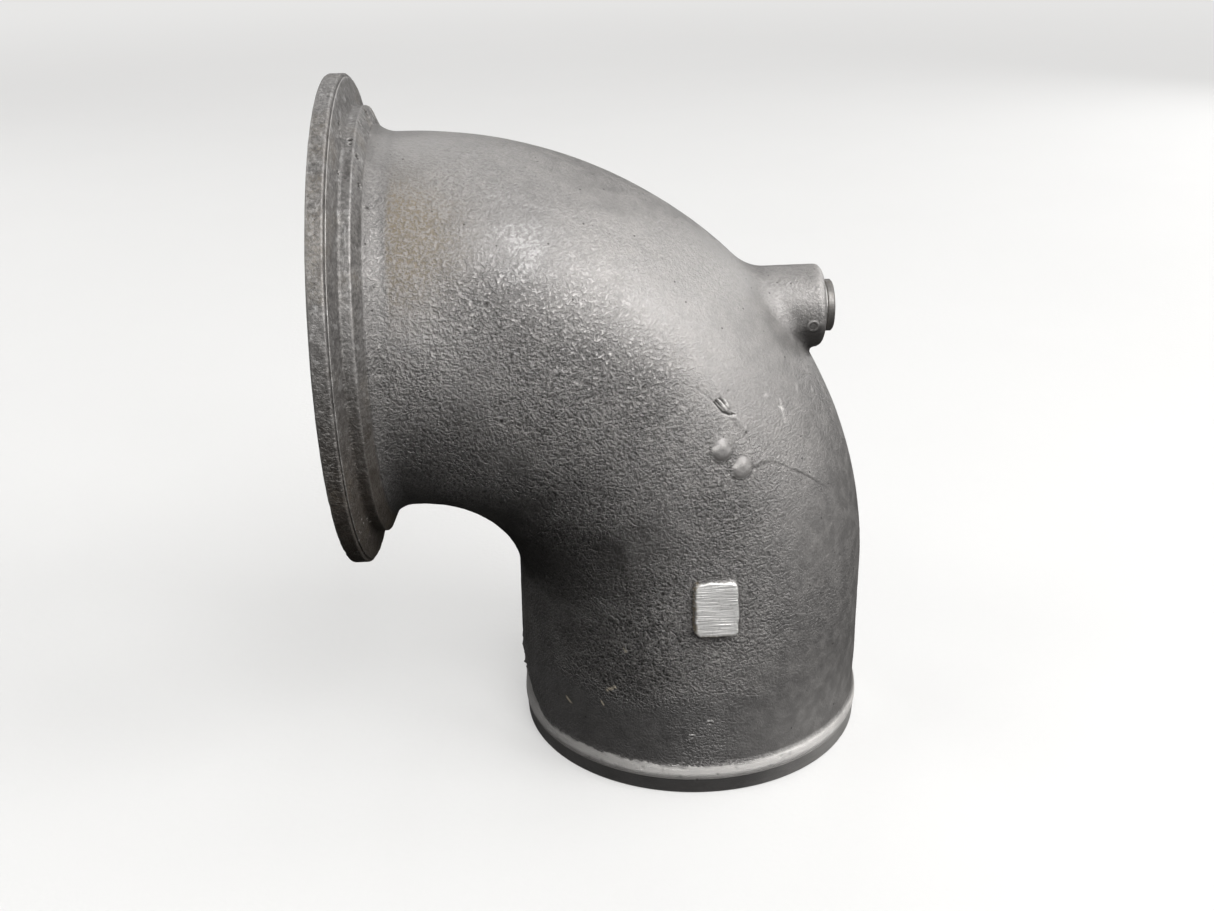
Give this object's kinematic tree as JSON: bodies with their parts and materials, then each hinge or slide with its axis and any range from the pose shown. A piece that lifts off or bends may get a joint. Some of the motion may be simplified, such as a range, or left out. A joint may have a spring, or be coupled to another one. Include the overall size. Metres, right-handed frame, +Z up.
{
  "type": "pipe elbow",
  "caption": "Cast iron 90 degree pipe elbow: turned spigot inlet, V-band flange outlet, and a plugged sensor port in a boss on the outer bend.",
  "frame": {"origin": "centre of the inlet end's bottom edge", "axes": "+Z up along the inlet leg; the outlet flange faces -X; the port boss points to +X on the outlet axis"},
  "size_m": [0.1474, 0.1344, 0.1948],
  "materials": {
    "casting": "shot-blasted sand casting, turned at both ends",
    "plug": "turned steel",
    "washer": "satin"
  },
  "bodies": {
    "casting": {"elbow_casting": "casting"},
    "washer": {"plug_washer": "washer"},
    "plug": {"port_plug": "plug"}
  },
  "joints": [
    {"name": "plug_travel", "type": "slide", "parent": "casting", "child": "washer", "axis": [1, 0, 0], "range_m": [0, 0.009]},
    {"name": "plug_turn", "type": "hinge", "parent": "washer", "child": "plug", "pos_m": [0.0382, 0, 0.1276], "axis": [1, 0, 0], "range_deg": [0, 3240]}
  ],
  "couplings": [
    {"joint": "plug_travel", "follows": "plug_turn", "m_per_rad": 0.00015915}
  ]
}
